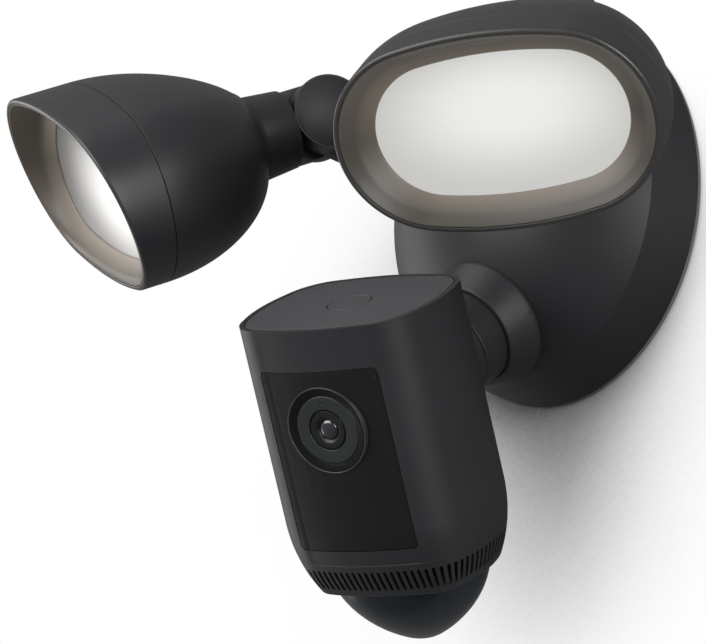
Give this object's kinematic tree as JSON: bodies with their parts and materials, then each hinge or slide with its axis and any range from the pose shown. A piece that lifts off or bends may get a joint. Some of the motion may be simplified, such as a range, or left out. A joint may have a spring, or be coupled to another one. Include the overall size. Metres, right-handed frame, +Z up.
{
  "type": "floodlight security camera",
  "caption": "Wall floodlight with a domed canopy, oval lamp heads on swivelling knuckle arms and a ball-jointed camera with a grille foot and a motion sensor dome.",
  "frame": {"origin": "centre of the wall bracket on the wall plane", "axes": "+Y into the wall, front towards -Y, +Z up, +X to the right seen from the front"},
  "size_m": [0.2849, 0.1606, 0.2148],
  "materials": {
    "foam": "closed-cell foam",
    "zinc_steel": "zinc plated",
    "rubber": "matt",
    "screw_steel": "zinc plated",
    "brass": "plain",
    "board": "solder mask",
    "driver_parts": "moulded and wound parts",
    "terminal": "moulded",
    "housing": "fine texture, charcoal",
    "painted_alloy": "fine powder coat, charcoal",
    "heat_sink": "cast",
    "diffuser": "frosted, lit from behind",
    "bezel": "satin taupe",
    "liner": "acetal",
    "lid": "satin charcoal",
    "switch": "plated",
    "panel": "semi-gloss black",
    "lens_ring": "bright edge",
    "glass": "coated",
    "barrel": "matt black",
    "sensor_dome": "satin, passes infrared"
  },
  "bodies": {
    "base": {"wall_gasket": "foam", "wall_bracket": "zinc_steel", "wire_grommet": "rubber", "box_screws": "screw_steel", "driver_standoffs": "brass", "driver_board": "board", "driver_parts": "driver_parts", "terminal_block": "terminal", "canopy_ring": "housing", "canopy_dome": "housing", "canopy_screws": "screw_steel", "camera_collar": "housing", "arm_ring_left": "housing", "arm_ring_right": "housing", "camera_neck": "housing"},
    "swivel": {"ball_stud": "housing", "cable_bush": "screw_steel"},
    "liner": {"ball_liner": "liner"},
    "camera": {"camera_saddle": "housing", "camera_shell": "housing", "camera_lid": "lid", "button_switch": "switch", "front_panel": "panel", "lens_bezel": "lens_ring", "lens_glass": "glass", "lens_barrel": "barrel", "infrared_emitter": "barrel", "main_board": "board", "speaker": "barrel", "grille_ring": "housing", "motion_dome": "sensor_dome", "motion_sensor": "switch"},
    "button": {"setup_button": "lid"},
    "arm_left": {"arm_left": "painted_alloy", "arm_nut_left": "screw_steel", "hinge_pin_left": "screw_steel"},
    "clevis_left": {"clevis_left": "painted_alloy"},
    "head_left": {"bell_left": "painted_alloy", "heat_sink_left": "heat_sink", "led_board_left": "board", "diffuser_seal_left": "rubber", "diffuser_left": "diffuser", "bezel_left": "bezel", "visor_left": "painted_alloy"},
    "arm_right": {"arm_right": "painted_alloy", "arm_nut_right": "screw_steel", "hinge_pin_right": "screw_steel"},
    "clevis_right": {"clevis_right": "painted_alloy"},
    "head_right": {"bell_right": "painted_alloy", "heat_sink_right": "heat_sink", "led_board_right": "board", "diffuser_seal_right": "rubber", "diffuser_right": "diffuser", "bezel_right": "bezel", "visor_right": "painted_alloy"}
  },
  "joints": [
    {"name": "arm_swivel_left", "type": "hinge", "parent": "base", "child": "arm_left", "pos_m": [-0.04245, -0.03269, 0.02625], "axis": [-0.5477, -0.765, 0.3387], "range_deg": [-60, 60]},
    {"name": "lamp_tilt_left", "type": "hinge", "parent": "arm_left", "child": "clevis_left", "pos_m": [-0.05976, -0.05687, 0.03696], "axis": [0.922, -0.3856, -0.0357], "range_deg": [-62, 24]},
    {"name": "lamp_roll_left", "type": "hinge", "parent": "clevis_left", "child": "head_left", "pos_m": [-0.06476, -0.06839, 0.03201], "axis": [-0.371, -0.8532, -0.3665], "range_deg": [-60, 60]},
    {"name": "arm_swivel_right", "type": "hinge", "parent": "base", "child": "arm_right", "pos_m": [0.04245, -0.03269, 0.02625], "axis": [0.5477, -0.765, 0.3387], "range_deg": [-60, 60]},
    {"name": "lamp_tilt_right", "type": "hinge", "parent": "arm_right", "child": "clevis_right", "pos_m": [0.05976, -0.05687, 0.03696], "axis": [0.8976, 0.4159, 0.1459], "range_deg": [-75, 15]},
    {"name": "lamp_roll_right", "type": "hinge", "parent": "clevis_right", "child": "head_right", "pos_m": [0.0654, -0.0663, 0.02912], "axis": [0.4181, -0.6986, -0.5807], "range_deg": [-60, 60]},
    {"name": "camera_swivel", "type": "hinge", "parent": "base", "child": "swivel", "pos_m": [0, -0.053, -0.05491], "axis": [0, -0.8231, -0.5678], "range_deg": [-45, 45]},
    {"name": "camera_tilt", "type": "hinge", "parent": "swivel", "child": "liner", "pos_m": [0, -0.05794, -0.05832], "axis": [0.9575, 0.2744, -0.0887], "range_deg": [-30, 30]},
    {"name": "camera_pan", "type": "hinge", "parent": "liner", "child": "camera", "pos_m": [0, -0.05794, -0.05832], "axis": [0.2134, -0.4673, 0.8579], "range_deg": [-30, 30]},
    {"name": "setup_button_press", "type": "slide", "parent": "camera", "child": "button", "axis": [-0.2134, 0.4673, -0.8579], "range_m": [0, 0.0007], "stiffness_N_per_m": 1500}
  ]
}
